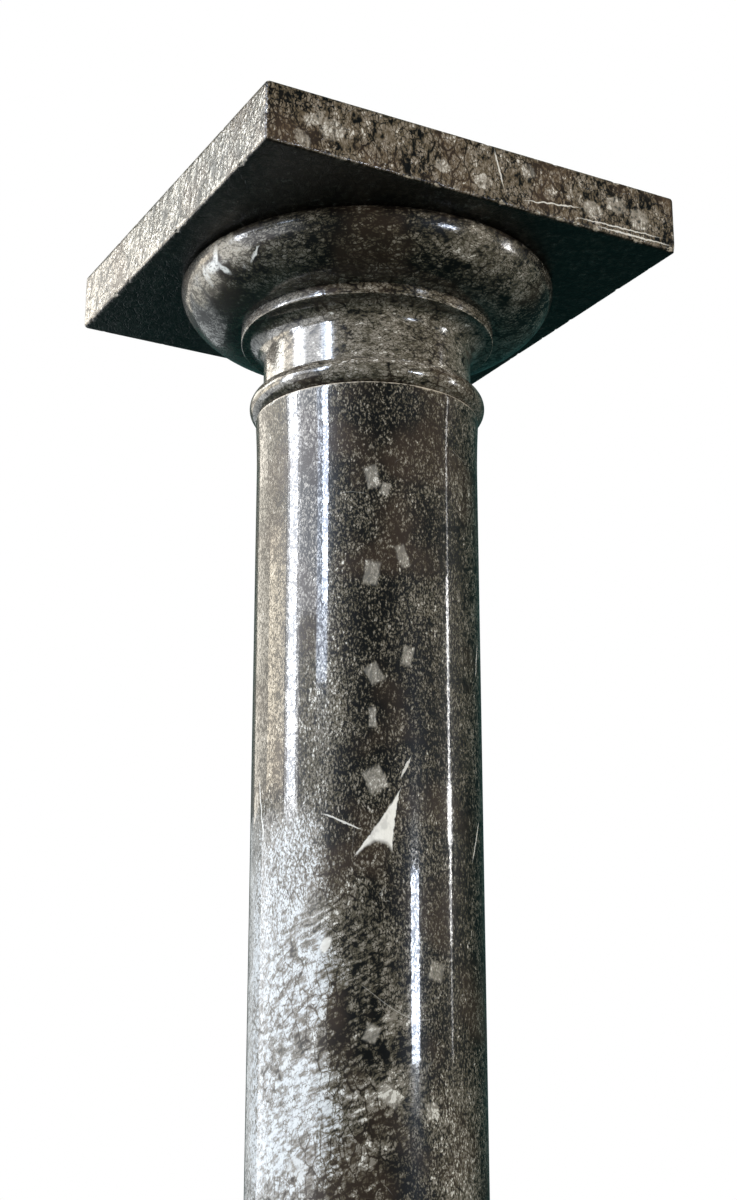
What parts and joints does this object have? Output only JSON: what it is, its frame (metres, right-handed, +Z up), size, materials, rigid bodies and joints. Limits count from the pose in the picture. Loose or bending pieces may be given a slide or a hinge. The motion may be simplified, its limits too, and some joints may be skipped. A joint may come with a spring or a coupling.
{
  "type": "marble column",
  "caption": "Free-standing round marble column with a turned capital and base, a square top slab and a square plinth, used as a tall pedestal.",
  "frame": {"origin": "centre of the plinth's underside, on the column's axis", "axes": "+Z up along the column's axis, +X and +Y square to the slabs' sides"},
  "size_m": [0.3, 0.3, 1.0517],
  "materials": {
    "plinth_marble": "satin",
    "base_marble": "satin",
    "shaft_marble": "satin",
    "capital_marble": "satin",
    "top_slab_marble": "satin"
  },
  "bodies": {
    "root": {"plinth": "plinth_marble", "base": "base_marble", "shaft": "shaft_marble", "capital": "capital_marble", "top_slab": "top_slab_marble"}
  },
  "joints": []
}
